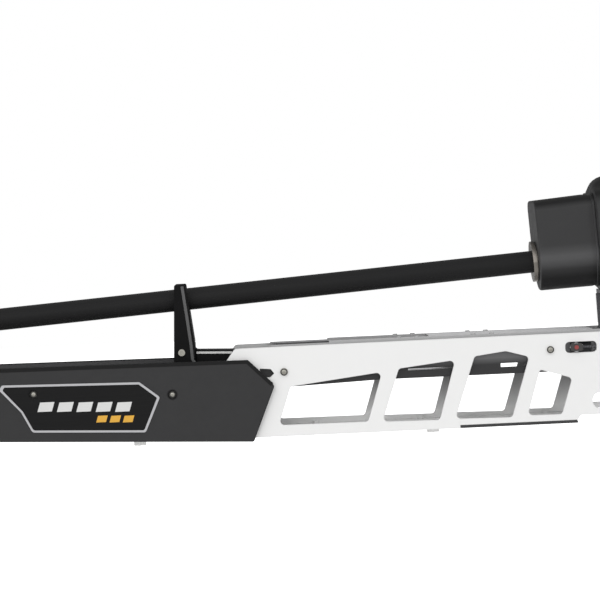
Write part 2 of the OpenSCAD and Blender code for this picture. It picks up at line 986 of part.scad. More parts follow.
module motor_housing() {
  color([0.14, 0.14, 0.15])
    on_motor()
      difference() {
        union() {
          bar(0, 0, motor_r, -82, 82);
          rod(0, 92, 23);
          rod(70, 92, 26);
        }
        bar(0, 0, motor_r - 4, -83, 83);
        rod(motor_r - 6, 52 + eps, 8);
        rod(52, 93, shaft_r);
      }
}

module nose_cone() {
  color([0.14, 0.14, 0.15])
    on_motor()
      translate([0, 82, 0])
        turned_y()
          difference() {
            polygon(concat([[0, 0], [motor_r, 0]],
              [for (a = [6:7:90]) [motor_r * cos(a), 84 * sin(a)]], [[0, 84]]));
            square([7.05, 24]);
          }
}

module tail_housing() {
  color([0.14, 0.14, 0.15])
    on_motor()
      translate([0, -82, 0])
        rotate([180, 0, 0])
          turned_y()
            difference() {
              polygon([[0, 0], [motor_r, 0], [motor_r - 1, 14], [motor_r - 5, 28], [motor_r - 12, 40],
                [29, 46], [0, 46]]);
              translate([0, -1])
                square([5.05, 50]);
              polygon([[0, -1], [36, -1], [36, 8], [26, 26], [0, 26]]);
            }
}

module skeg() {
  color([0.14, 0.14, 0.15])
    on_motor()
      translate([0, 0, -3])
        linear_extrude(height = 6)
          difference() {
            soft([[-10, 60, 0], [-10, -60, 0], [-60, -66, 8], [-158, -52, 18], [-166, -10, 14],
              [-60, 52, 20]]);
            translate([-motor_r, -90])
              square([motor_r + 20, 180]);
          }
}

module magnets() {
  color([0.3, 0.3, 0.32])
    on_motor()
      for (s = [0, 180])
        rotate([0, s, 0])
          intersection() {
            difference() {
              bar(0, 0, motor_r - 4, -55, 55);
              bar(0, 0, motor_r - 11, -56, 56);
            }
            block(-30, 30, -56, 56, 20, 60);
          }
}

module brush_plate() {
  color([0.45, 0.3, 0.18])
    on_motor()
      difference() {
        union() {
          bar(0, 0, motor_r - 4.1, 62, 66);
          for (s = [-1, 1])
            block(s * 18 - 5, s * 18 + 5, 54, 62 + eps, -5, 5);
        }
        bar(0, 0, 12, 53, 67);
      }
}

module motor_bearings() {
  color([0.8, 0.8, 0.82])
    on_motor() {
      difference() {
        bar(0, 0, 12, -92, -83);
        bar(0, 0, 5.05, -93, -82);
      }
      difference() {
        bar(0, 0, 7, 84, 100);
        bar(0, 0, 5.05, 83, 101);
      }
    }
}

module armature() {
  color([0.6, 0.45, 0.3])
    on_motor() {
      bar(0, 0, 5, -186, 98);
      bar(0, 0, 30, -50, 45);
      bar(0, 0, 11.5, 45 - eps, 70);
      bar(0, 0, 2.5, -190, -185);
      rod(-11, 11, 2, -136, 0);
    }
}

// thin blade standing out along the radius, set at the working pitch
module blade() {
  rotate([0, 0, -62])
    translate([0, 0, 20])
      rotate([90, 0, 0])
        linear_extrude(height = 5, center = true)
          soft([[-14, 2, 0], [14, 2, 0], [30, 40, 20], [31, 88, 24], [8, prop_d / 2 - 24, 16],
            [-20, prop_d / 2 - 32, 14], [-28, 56, 22]]);
}

module propeller() {
  color([0.12, 0.12, 0.13])
    on_motor()
      difference() {
        union() {
          bar(0, 0, 28, -180, -132);
          translate([0, -156, 0])
            for (s = [0, 180])
              rotate([0, s, 0])
                blade();
        }
        bar(0, 0, 5, -181, -131);
        rod(-11, 11, 2, -136, 0);
      }
}

module prop_nut() {
  color([0.7, 0.7, 0.7])
    on_motor()
      translate([0, -180, 0])
        rotate([90, 0, 0])
          difference() {
            union() {
              cylinder(r = 12, h = 2);
              translate([0, 0, 2 - eps])
                cylinder(r = 9, h = 6, $fn = 6);
            }
            translate([0, 0, -1])
              cylinder(r = 5, h = 12);
          }
}

side_rails();
floor_plate();
floor_screws();
mounting_pads();
deck_spacers();
side_covers();
badge_frames();
badge_panels();
side_screws();
nose_block();
fork_bracket();
rest_fork();
rest_pads();
fork_bolt();
pivot_bolts();
link_bracket();
link_pin();
spring_anchor();
wear_pads();
latch_bar();
latch_grips();
latch_flags();
latch_spring();
arm_plates();
arm_cap();
cap_bolts();
pivot_bushes();
hinge_pin();
tie_link();
gas_cylinder();
gas_rod();
gear_barrel();
main_housing();
housing_cap();
hinge_bracket();
shaft_bushing();
housing_screws();
cable_gland();
steering_motor();
servo_pinion();
steering_tube();
depth_collar();
collar_knob();
shaft();
head_base();
head_cover();
head_board();
power_button();
test_button();
coil_cord();
motor_housing();
nose_cone();
tail_housing();
skeg();
magnets();
brush_plate();
motor_bearings();
armature();
propeller();
prop_nut();
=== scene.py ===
"""Looks of the stowed bow-mount trolling motor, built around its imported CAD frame."""
import json
import math

import bmesh
import bpy
from mathutils import Matrix, Vector


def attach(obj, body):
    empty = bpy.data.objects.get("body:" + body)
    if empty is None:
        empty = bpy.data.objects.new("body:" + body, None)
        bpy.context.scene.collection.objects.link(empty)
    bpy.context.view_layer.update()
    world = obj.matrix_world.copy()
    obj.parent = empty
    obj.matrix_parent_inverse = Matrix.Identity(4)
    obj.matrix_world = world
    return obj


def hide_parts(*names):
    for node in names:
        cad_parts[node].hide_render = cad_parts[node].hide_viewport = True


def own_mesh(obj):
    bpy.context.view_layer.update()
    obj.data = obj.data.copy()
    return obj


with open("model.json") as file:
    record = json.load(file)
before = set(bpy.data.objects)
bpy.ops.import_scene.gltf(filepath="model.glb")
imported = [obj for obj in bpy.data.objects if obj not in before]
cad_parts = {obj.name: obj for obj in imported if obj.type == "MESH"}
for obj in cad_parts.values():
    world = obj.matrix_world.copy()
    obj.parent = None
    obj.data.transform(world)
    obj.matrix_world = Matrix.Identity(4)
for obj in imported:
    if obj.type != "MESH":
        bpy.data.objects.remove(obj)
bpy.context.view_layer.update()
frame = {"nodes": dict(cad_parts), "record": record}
nodes = frame["nodes"]

# ---------------------------------------------------------------- frame facts, mm
MM = 0.001  # turns millimetres into the frame's metres
SLOPE = math.radians(3.6)
SHAFT_O = Vector((0, 0, 193 * MM))
SHAFT_X = Vector((math.cos(SLOPE), 0, math.sin(SLOPE)))
SHAFT_Z = Vector((-math.sin(SLOPE), 0, math.cos(SLOPE)))
# stations along the stowed shaft
BARREL_T0, FLANGE_T0, CASE_T0, CASE_T1 = 336, 409, 415, 545
COLLAR_T1, HEAD_T0, MOTOR_T = 588, 735, -652
MOTOR_R, MOTOR_END = 46, 82
LATCH_X, LATCH_Z, SLOT_END = 377.6, 102.6, 403.8


def on_shaft(t, y, z):
    """Point t mm up the stowed shaft, y mm across it and z mm above it."""
    return SHAFT_O + (SHAFT_X * t + Vector((0, y, 0)) + SHAFT_Z * z) * MM


def on_motor(x, y, z):
    """Point x mm up the shaft from the motor's axis, y mm along the motor and z mm above it."""
    return on_shaft(MOTOR_T + x, y, z)


def along_motor(d, a, b):
    """The same for a turned profile: d mm along the motor, a and b mm across it."""
    return on_motor(a, d, b)


def plain(x, y, z):
    """Point in the frame, given in mm."""
    return Vector((x, y, z)) * MM


# ---------------------------------------------------------------- materials
class Nodes:
    """Small helper that wires one material's node tree."""

    def __init__(self, name):
        self.mat = bpy.data.materials.new(name)
        self.mat.use_nodes = True
        self.tree = self.mat.node_tree
        self.tree.nodes.clear()
        self.out = self.tree.nodes.new("ShaderNodeOutputMaterial")
        self.bsdf = self.tree.nodes.new("ShaderNodeBsdfPrincipled")
        self.tree.links.new(self.bsdf.outputs[0], self.out.inputs[0])
        self.coord = self.tree.nodes.new("ShaderNodeTexCoord").outputs["Object"]

    def put(self, socket, value):
        """Link a socket, or set a plain value."""
        if isinstance(value, bpy.types.NodeSocket):
            self.tree.links.new(value, socket)
        else:
            socket.default_value = value

    def set(self, **kw):
        """Inputs of the surface shader, with _ for each space in their names."""
        for key, value in kw.items():
            self.put(self.bsdf.inputs[key.replace("_", " ")], value)

    def mapping(self, scale=(1, 1, 1), rotation=(0, 0, 0)):
        n = self.tree.nodes.new("ShaderNodeMapping")
        n.inputs["Scale"].default_value = scale
        n.inputs["Rotation"].default_value = rotation
        self.tree.links.new(self.coord, n.inputs["Vector"])
        return n.outputs[0]

    def axis(self, name):
        """One coordinate of the shaded point, in metres, with the part at rest."""
        n = self.tree.nodes.new("ShaderNodeSeparateXYZ")
        self.tree.links.new(self.coord, n.inputs[0])
        return n.outputs[name]

    def facing_inwards(self):
        """1 on faces that look towards the mid plane of the part, 0 elsewhere."""
        geo = self.tree.nodes.new("ShaderNodeNewGeometry")
        n = self.tree.nodes.new("ShaderNodeSeparateXYZ")
        self.tree.links.new(geo.outputs["Normal"], n.inputs[0])
        product = self.math("MULTIPLY", n.outputs["Y"], self.math("SIGN", self.axis("Y"), 0.0))
        return self.remap(product, 0, 1, -0.5, -0.9)

    def tilt(self):
        """Upward part of the surface normal in the part's own frame, so it keeps with the part."""
        coords = self.tree.nodes.new("ShaderNodeTexCoord")
        n = self.tree.nodes.new("ShaderNodeSeparateXYZ")
        self.tree.links.new(coords.outputs["Normal"], n.inputs[0])
        return n.outputs["Z"]

    def grazing(self, lo, hi):
        """0 where the surface faces the eye and 1 where it turns away."""
        n = self.tree.nodes.new("ShaderNodeLayerWeight")
        n.inputs["Blend"].default_value = 0.5
        return self.remap(n.outputs["Facing"], 0, 1, lo, hi)

    def noise(self, scale, detail=3.0, rough=0.55, vector=None):
        n = self.tree.nodes.new("ShaderNodeTexNoise")
        n.inputs["Scale"].default_value = scale
        n.inputs["Detail"].default_value = detail
        n.inputs["Roughness"].default_value = rough
        self.tree.links.new(vector or self.coord, n.inputs["Vector"])
        return n.outputs["Fac"]

    def voronoi(self, scale, vector=None):
        n = self.tree.nodes.new("ShaderNodeTexVoronoi")
        n.inputs["Scale"].default_value = scale
        self.tree.links.new(vector or self.coord, n.inputs["Vector"])
        return n.outputs["Distance"]

    def remap(self, fac, lo, hi, a=0.0, b=1.0):
        """fac from a..b to lo..hi, clamped."""
        n = self.tree.nodes.new("ShaderNodeMapRange")
        n.inputs["From Min"].default_value = a
        n.inputs["From Max"].default_value = b
        n.inputs["To Min"].default_value = lo
        n.inputs["To Max"].default_value = hi
        self.tree.links.new(fac, n.inputs["Value"])
        return n.outputs[0]

    def math(self, op, a, b):
        n = self.tree.nodes.new("ShaderNodeMath")
        n.operation = op
        self.put(n.inputs[0], a)
        self.put(n.inputs[1], b)
        return n.outputs[0]

    def mix(self, fac, a, b):
        n = self.tree.nodes.new("ShaderNodeMix")
        n.data_type = "RGBA"
        self.put(n.inputs[0], fac)
        self.put(n.inputs[6], (*a, 1) if isinstance(a, tuple) else a)
        self.put(n.inputs[7], (*b, 1) if isinstance(b, tuple) else b)
        return n.outputs[2]

    def bump(self, *layers):
        """layers are (height, strength, distance in metres)."""
        normal = None
        for height, strength, distance in layers:
            n = self.tree.nodes.new("ShaderNodeBump")
            n.inputs["Strength"].default_value = strength
            n.inputs["Distance"].default_value = distance
            self.tree.links.new(height, n.inputs["Height"])
            if normal:
                self.tree.links.new(normal, n.inputs["Normal"])
            normal = n.outputs[0]
        self.tree.links.new(normal, self.bsdf.inputs["Normal"])

    def edge(self, radius):
        """0 on flats and 1 within radius metres of an edge."""
        soft = self.tree.nodes.new("ShaderNodeBevel")
        soft.samples = 4
        soft.inputs["Radius"].default_value = radius
        geo = self.tree.nodes.new("ShaderNodeNewGeometry")
        dot = self.tree.nodes.new("ShaderNodeVectorMath")
        dot.operation = "DOT_PRODUCT"
        self.tree.links.new(soft.outputs[0], dot.inputs[0])
        self.tree.links.new(geo.outputs["Normal"], dot.inputs[1])
        return self.remap(dot.outputs["Value"], 1.0, 0.0, 0.86, 0.995)


def rail_paint(name):
    """White powder coat; faces that look inwards carry painted shade that deepens under the arm,
    and the edges a soft painted shade.
    """
    m = Nodes(name)
    body = m.mix(m.remap(m.noise(7, 2), 0.3, 0.7), (0.85, 0.85, 0.845), (0.88, 0.88, 0.875))
    # painted shade on faces that look inwards: darker the higher they are, lightly mottled, fading
    # out just below the top
    depth = m.remap(m.axis("Z"), 0, 1, 22 * MM, 84 * MM)
    inner_shade = m.math("MULTIPLY", m.facing_inwards(), m.math("POWER", depth, 0.8))
    inner_shade = m.math("MULTIPLY", inner_shade, m.remap(m.noise(45, 4, 0.6), 0.84, 0.96))
    inner_shade = m.math("MULTIPLY", inner_shade, m.remap(m.axis("Z"), 1, 0.3, 106 * MM, 117 * MM))
    # painted shade: the rounded edges turned towards grey
    edge_shade = m.math("MULTIPLY", m.edge(0.0022), 0.32)
    colour = m.mix(edge_shade, m.mix(inner_shade, body, (0.06, 0.06, 0.062)), (0.5, 0.5, 0.505))
    m.set(Base_Color=colour, Roughness=m.remap(m.noise(60, 4), 0.4, 0.52), Coat_Weight=0.1,
          Coat_Roughness=0.3, IOR=1.5)
    m.bump((m.noise(900, 2, 0.5), 0.3, 0.00008), (m.noise(1900, 2), 0.12, 0.00003))
    return m.mat


def tinted(colour, k):
    """Colour with its brightness times k."""
    return tuple(min(1.0, c * k) for c in colour)


def painted(name, base, rough, worn, peel=0.3):
    """Powder coat: orange peel, slow tone drift and rubbed edges."""
    m = Nodes(name)
    body = m.mix(m.remap(m.noise(7, 2), 0.3, 0.7), tinted(base, 0.96), base)
    rubbed = m.math("MULTIPLY", m.edge(0.0006), m.remap(m.noise(160, 4, 0.7), 0, 0.3, 0.35, 0.65))
    m.set(Base_Color=m.mix(rubbed, body, worn),
          Roughness=m.remap(m.noise(60, 4), rough - 0.05, rough + 0.07),
          Coat_Weight=0.1, Coat_Roughness=0.3, IOR=1.5)
    m.bump((m.noise(900, 2, 0.5), peel, 0.00008), (m.noise(1900, 2), 0.12, 0.00003))
    return m.mat


def moulded(name, base, rough=0.5, grain=2400, depth=0.00004, shine=0.35, edge_tone=1.5,
            edge_width=0.0009, edge_amount=0.6, inner_light=None, bend_shade_and_sheen=False):
    """Moulded plastic with a spark-eroded grain, faint flow tone and a tone of its own on the
    edges, lighter as rubbed wear on most parts; on the covers the edges darken, which is painted
    shade.

    The inward tone lightens faces that look inwards, painted light where they lie in shade; the
    bend option paints shade on the top and under faces of the steering housing and a pale
    painted highlight where its sides turn under.
    """
    m = Nodes(name)
    flow = m.noise(11, 3, 0.6, m.mapping((1, 1, 2.5)))
    speck = m.remap(m.noise(1300, 2, 0.5), 0.9, 1.1)
    body = m.mix(m.remap(flow, 0.25, 0.75), tinted(base, 0.88), tinted(base, 1.06))
    # edge tone: lighter rubbed wear on most parts; the covers' darkened edges are painted shade
    at_edge = m.math("MULTIPLY", m.edge(edge_width), edge_amount)
    edged = m.mix(at_edge, body, tinted(base, edge_tone))
    # painted light: faces that look inwards are lightened where they lie in shade
    if inner_light:
        edged = m.mix(m.facing_inwards(), edged, tinted(base, inner_light))
    # painted shade on the top and under faces, and a painted highlight where the sides turn under
    if bend_shade_and_sheen:
        tilt = m.tilt()
        edged = m.mix(m.remap(tilt, 0, 0.9, 0.12, 0.6), edged, tinted(base, 0.12))
        painted_sheen = m.math("MULTIPLY", m.remap(tilt, 0, 1, -0.02, -0.18),
                       m.remap(tilt, 1, 0, -0.24, -0.44))
        edged = m.mix(m.math("MULTIPLY", painted_sheen, 0.8), edged, tinted(base, 2.4))
        edged = m.mix(m.remap(tilt, 0, 0.9, -0.36, -0.62), edged, tinted(base, 0.2))
    matt = m.remap(m.noise(90, 5, 0.7), rough - 0.06, rough + 0.08, 0.3, 0.7)
    m.set(Base_Color=edged, Roughness=m.math("MULTIPLY", matt, speck), Specular_IOR_Level=shine,
          IOR=1.48)
    m.bump((m.voronoi(grain), 0.3, depth), (m.noise(grain * 0.6, 3, 0.6), 0.3, depth))
    return m.mat


def brushed(name, base, along, rough, metallic=1.0, streak=0.25, top_light_gain=None):
    """Brushed metal: long fine streaks along one axis, upper faces optionally brighter as painted
    light.
    """
    m = Nodes(name)
    stretch = {"X": (8, 900, 900), "Y": (900, 8, 900), "Z": (900, 900, 8)}[along]
    lines = m.noise(1.0, 6, 0.7, m.mapping(stretch))
    tone = m.remap(lines, 1 - streak, 1 + streak * 0.4)
    colour = m.mix(tone, tinted(base, 0.8), base)
    # painted light: upper faces brightened
    if top_light_gain:
        colour = m.mix(m.remap(m.tilt(), 0, 1, 0.5, 0.9), colour, tinted(base, top_light_gain))
    m.set(Base_Color=colour, Metallic=metallic,
          Roughness=m.remap(lines, rough - 0.08, rough + 0.14), Anisotropic=0.3)
    m.bump((lines, 0.1, 0.00003), (m.noise(40, 3), 0.04, 0.0002))
    return m.mat


def two_tone_arm(name):
    """Black arm plates with bare satin metal on the aft upper band and the top edge."""
    m = Nodes(name)
    lines = m.noise(1.0, 5, 0.65, m.mapping((9, 700, 700)))
    upper = m.remap(m.axis("Z"), 0, 1, 85 * MM, 93 * MM)
    upper_aft = m.math("MULTIPLY", upper, m.remap(m.axis("X"), 0, 1, 110 * MM, 130 * MM))
    top_edge = m.remap(m.axis("Z"), 0, 1, 113 * MM, 116 * MM)
    bare = m.math("MAXIMUM", upper_aft, top_edge)
    metal = m.mix(lines, (0.1, 0.1, 0.103), (0.17, 0.17, 0.173))
    m.set(Base_Color=m.mix(bare, (0.012, 0.012, 0.013), metal), Metallic=m.remap(bare, 0, 0.75),
          Roughness=m.remap(lines, 0.36, 0.5), IOR=1.5)
    m.bump((m.noise(900, 2, 0.5), 0.25, 0.00007), (lines, 0.08, 0.00003))
    return m.mat


def rubber(name, base):
    """Matt rubber with a little dust."""
    m = Nodes(name)
    dust = m.noise(130, 5, 0.7)
    m.set(Base_Color=m.mix(m.remap(dust, 0, 0.5, 0.45, 0.8), base, tinted(base, 2)),
          Roughness=m.remap(dust, 0.67, 0.85), Specular_IOR_Level=0.3)
    m.bump((m.noise(1800, 3, 0.6), 0.4, 0.00006))
    return m.mat


def composite(name):
    """Pultruded shaft: satin, with faint lengthwise streaks, and painted shade that darkens it
    towards its outline.
    """
    m = Nodes(name)
    streak = m.noise(1.0, 5, 0.6, m.mapping((6, 420, 420), (0, SLOPE, 0)))
    body = m.mix(m.remap(streak, 0.2, 0.8), (0.0125, 0.0125, 0.0128), (0.019, 0.019, 0.0195))
    # painted shade: darker where the surface turns away from the eye
    body = m.mix(m.grazing(0.62, 0.92), body, (0.002, 0.002, 0.002))
    m.set(Base_Color=body, Roughness=m.remap(streak, 0.42, 0.55), Specular_IOR_Level=0.1)
    m.bump((streak, 0.18, 0.00005), (m.noise(1400, 2), 0.1, 0.00003))
    return m.mat


def film(name):
    """Dark brushed badge film."""
    m = Nodes(name)
    lines = m.noise(1.0, 5, 0.65, m.mapping((10, 1200, 1200)))
    m.set(Base_Color=m.mix(lines, (0.004, 0.004, 0.0042), (0.016, 0.016, 0.0164)),
          Roughness=m.remap(lines, 0.5, 0.66), Specular_IOR_Level=0.12)
    m.bump((lines, 0.1, 0.00002))
    return m.mat


def enamel(name, base, rough):
    """Printed or painted mark with a thin clear coat."""
    m = Nodes(name)
    fine = m.noise(700, 3)
    m.set(Base_Color=m.mix(m.remap(m.noise(30, 2), 0.3, 0.7), tinted(base, 0.85), base),
          Roughness=m.remap(fine, rough - 0.05, rough + 0.08), Coat_Weight=0.3, Coat_Roughness=0.15)
    m.bump((fine, 0.15, 0.00004))
    return m.mat


def lens(name, base):
    """Small clear indicator lens over a dark well."""
    m = Nodes(name)
    m.set(Base_Color=m.mix(m.noise(500, 2), tinted(base, 0.6), base), Roughness=0.12,
          Coat_Weight=1.0, Coat_Roughness=0.03, Subsurface_Weight=0.2)
    m.bump((m.voronoi(1500), 0.1, 0.00003))
    return m.mat


def board(name):
    """Green circuit board with raised tracks."""
    m = Nodes(name)
    tracks = m.voronoi(260, m.mapping((0.4, 1, 1)))
    m.set(Base_Color=m.mix(m.remap(tracks, 0, 1, 0.2, 0.3), (0.02, 0.12, 0.05), (0.05, 0.3, 0.12)),
          Roughness=0.4)
    m.bump((tracks, 0.3, 0.0001))
    return m.mat


def winding(name):
    """Copper winding, its wires lying along Y."""
    m = Nodes(name)
    lines = m.noise(1.0, 3, 0.6, m.mapping((900, 30, 900)))
    m.set(Base_Color=m.mix(lines, (0.25, 0.1, 0.04), (0.7, 0.35, 0.16)), Metallic=0.9,
          Roughness=0.35)
    m.bump((lines, 0.5, 0.0003))
    return m.mat


MAT = {
    "painted_rail": rail_paint("white_powder_coat"),
    "black_paint": painted("black_powder_coat", (0.014, 0.014, 0.015), 0.5, (0.09, 0.09, 0.095)),
    "black_cast": painted("black_cast_paint", (0.016, 0.016, 0.017), 0.34, (0.05, 0.05, 0.052),
                          0.45),
    "black_plastic": moulded("black_moulding", (0.01, 0.01, 0.0104), shine=0.22),
    "fork_plastic": moulded("fork_moulding", (0.005, 0.005, 0.0053), grain=2000, depth=0.00005,
                            shine=0.1),
    "rib_plastic": moulded("rib_moulding", (0.1, 0.1, 0.101), 0.45),
    # cover: the dark edge band is painted shade and the faces that look inwards carry painted light
    "cover_plastic": moulded("cover_moulding", (0.037, 0.037, 0.038), 0.62, 1500, 0.00008, 0.22,
                             edge_tone=0.2, edge_width=0.0026, edge_amount=0.9, inner_light=2.2),
    # housing: painted shade on its top and under faces and a painted highlight at the lower bends
    "housing_plastic": moulded("housing_moulding", (0.042, 0.042, 0.043), grain=2000, depth=0.00005,
                               shine=0.2, bend_shade_and_sheen=True),
    "grip_plastic": moulded("grip_moulding", (0.055, 0.052, 0.05)),
    "spacer_nylon": moulded("spacer_nylon", (0.9, 0.9, 0.89), 0.4, 1600, shine=0.4, edge_tone=1.0),
    "natural_nylon": moulded("natural_nylon", (0.74, 0.73, 0.7), 0.4, 1600, shine=0.5,
                             edge_tone=1.05),
    "head_shell": moulded("head_shell", (0.018, 0.018, 0.019), 0.36, 3000, 0.00003, 0.5),
    "prop_plastic": moulded("propeller_plastic", (0.016, 0.016, 0.017), 0.3, 2600, 0.00003, 0.55),
    "brush_board": moulded("phenolic_board", (0.16, 0.09, 0.05), grain=800),
    # satin aluminium: its upper faces carry painted light
    "satin_metal": brushed("satin_aluminium", (0.44, 0.44, 0.443), "X", 0.5, 0.5, top_light_gain=2.0),
    "badge_silver": brushed("badge_silver", (0.5, 0.5, 0.515), "X", 0.35, 0.7),
    "stainless": brushed("stainless", (0.6, 0.6, 0.61), "Y", 0.3),
    "screw_zinc": brushed("zinc_screw", (0.42, 0.41, 0.37), "Y", 0.42),
    "screw_dark": brushed("blackened_screw", (0.07, 0.068, 0.065), "Y", 0.4, 0.8),
    "chrome_rod": brushed("chrome_plate", (0.86, 0.86, 0.88), "X", 0.14, streak=0.05),
    "bronze": brushed("bearing_bronze", (0.62, 0.42, 0.2), "Y", 0.32),
    "bush_metal": brushed("bushing_metal", (0.27, 0.25, 0.225), "Y", 0.2),
    "dark_iron": brushed("dark_iron", (0.2, 0.2, 0.21), "Y", 0.5),
    "arm_two_tone": two_tone_arm("arm_paint"),
    "shaft_composite": composite("shaft_composite"),
    "badge_dark": film("badge_film"),
    "rubber_black": rubber("black_rubber", (0.014, 0.014, 0.015)),
    "trim_rubber": rubber("trim_rubber", (0.006, 0.006, 0.0062)),
    "strip_rubber": rubber("strip_rubber", (0.045, 0.045, 0.046)),
    "red_plastic": enamel("red_plastic", (0.3, 0.035, 0.03), 0.45),
    "mark_white": enamel("mark_white", (0.75, 0.75, 0.74), 0.4),
    "mark_amber": enamel("mark_amber", (0.8, 0.42, 0.03), 0.4),
    "amber_lens": lens("amber_lens", (0.8, 0.28, 0.03)),
    "green_lens": lens("green_lens", (0.1, 0.6, 0.15)),
    "circuit_board": board("circuit_board"),
    "copper_winding": winding("copper_winding"),
}

node_slot = {sub["node"]: sub["material_slot"] for sub in frame["record"]["subparts"]}
# nodes whose look differs from their slot's
special = {"side_covers": "cover_plastic", "badge_frames": "badge_silver",
           "arm_plates": "arm_two_tone", "rest_fork": "fork_plastic",
           "fork_bracket": "fork_plastic", "latch_grips": "grip_plastic",
           "pivot_bolts": "screw_zinc", "side_screws": "screw_zinc",
           "fork_bolt": "screw_zinc", "shaft_bushing": "bush_metal", "deck_spacers": "spacer_nylon",
           "cap_bolts": "satin_metal", "floor_screws": "painted_rail", "hinge_bracket": "dark_iron",
           "mounting_pads": "strip_rubber"}
# bevel widths, mm
bevels = {"side_rails": 1.2, "side_covers": 2.0, "rest_fork": 0.8, "fork_bracket": 1.0,
          "arm_plates": 0.7, "arm_cap": 0.6, "hinge_bracket": 0.8, "nose_block": 1.0,
          "depth_collar": 1.2, "shaft_bushing": 0.8, "collar_knob": 1.0, "mounting_pads": 0.5,
          "latch_grips": 0.8, "tie_link": 0.6, "gas_cylinder": 0.8, "badge_frames": 0.25,
          "link_bracket": 0.6, "spring_anchor": 0.6}
DEFAULT_BEVEL = 0.3


def finish_cad(name, obj):
    """Material, rounded edges and even shading for a CAD node; its mesh is not touched."""
    obj.data.materials.clear()
    obj.data.materials.append(MAT[special.get(name, node_slot[name])])
    mod = obj.modifiers.new("edge", "BEVEL")
    mod.width = bevels.get(name, DEFAULT_BEVEL) * MM
    mod.segments = 3
    mod.limit_method = "ANGLE"
    mod.angle_limit = math.radians(32)
    for p in obj.data.polygons:
        p.use_smooth = True
    smooth = obj.modifiers.new("normals", "WEIGHTED_NORMAL")
    smooth.keep_sharp = True


for cad_name, cad_obj in nodes.items():
    finish_cad(cad_name, cad_obj)


# ---------------------------------------------------------------- mesh helpers
def piece(name, verts, faces, body, mat, slot=None, replaces=(), sharp=38):
    """New mesh piece from points in metres, riding on a body."""
    mesh = bpy.data.meshes.new(name)
    mesh.from_pydata([tuple(v) for v in verts], [], faces)
    bm = bmesh.new()
    bm.from_mesh(mesh)
    bmesh.ops.remove_doubles(bm, verts=bm.verts, dist=1e-7)
    bmesh.ops.recalc_face_normals(bm, faces=bm.faces)
    bm.to_mesh(mesh)
    bm.free()
    for p in mesh.polygons:
        p.use_smooth = True
    mesh.set_sharp_from_angle(angle=math.radians(sharp))
    mesh.materials.append(MAT[mat])
    obj = bpy.data.objects.new(name, mesh)
    bpy.context.scene.collection.objects.link(obj)
    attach(obj, body)
    if replaces:
        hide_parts(*replaces)
    return obj


def merge(parts):
    """One (verts, faces) pair from several."""
    verts, faces = [], []
    for v, f in parts:
        faces += [tuple(i + len(verts) for i in face) for face in f]
        verts += v
    return verts, faces


def skin(rings, capped=True, closed=False):
    """Quads between loops of equal length, with or without end caps."""
    n = len(rings[0])
    verts = [p for ring in rings for p in ring]
    faces = []
    pairs = list(zip(range(len(rings) - 1), range(1, len(rings))))
    if closed:
        pairs.append((len(rings) - 1, 0))
    for a, b in pairs:
        for i in range(n):
            j = (i + 1) % n
            faces.append((a * n + i, a * n + j, b * n + j, b * n + i))
    if capped and not closed:
        faces.append(tuple(reversed(range(n))))
        faces.append(tuple(range((len(rings) - 1) * n, len(rings) * n)))
    return verts, faces


def angles(steps):
    """Evenly spaced directions round a full turn."""
    return [2 * math.pi * k / steps for k in range(steps)]


def lathe(profile, place, steps=48, closed=False):
    """Turned solid: profile is (distance along, radius), place maps (along, a, b) to the frame."""
    rings = [[place(d, r * math.cos(a), r * math.sin(a)) for a in angles(steps)]
             for d, r in profile]
    return skin(rings, not closed, closed)


def coil(place, d0, d1, radius, wire, turns, steps=20, sides=8):
    """Round wire wound about an axis from d0 to d1, with its ends tucked in."""
    count = int(turns * steps)
    rings = []
    rise = (d1 - d0) / (2 * math.pi * turns)
    for k in range(count + 1):
        a = 2 * math.pi * turns * k / count
        out = Vector((0, math.cos(a), math.sin(a)))
        along = Vector((rise, -radius * math.sin(a), radius * math.cos(a))).normalized()
        side = along.cross(out)
        centre = Vector((d0 + (d1 - d0) * k / count, 0, 0)) + out * radius
        rings.append([place(*(centre + (out * math.cos(b) + side * math.sin(b)) * wire))
                      for b in angles(sides)])
    return skin(rings)


def arch(w, zb, zt, rb, rise, rt, steps=12):
    """Outline as (y, z): lower corners rb wide and rise tall, upper corners of radius rt."""
    corners = [(w / 2 - rb, zb + rise, rb, rise, -90), (w / 2 - rt, zt - rt, rt, rt, 0),
               (-w / 2 + rt, zt - rt, rt, rt, 90), (-w / 2 + rb, zb + rise, rb, rise, 180)]
    pts = []
    for cy, cz, ry, rz, a0 in corners:
        for k in range(steps + 1):
            a = math.radians(a0 + 90 * k / steps)
            pts.append((cy + ry * math.cos(a), cz + rz * math.sin(a)))
    return pts


def circle(t, r, steps=96):
    """Circle of radius r round the shaft's axis at station t."""
    return [on_shaft(t, r * math.cos(a), r * math.sin(a)) for a in angles(steps)]


def super_radius(a, half_w, half_h, n):
    """Distance from the centre to a rounded box outline in direction a."""
    return (abs(math.cos(a) / half_w) ** n + abs(math.sin(a) / half_h) ** n) ** (-1 / n)


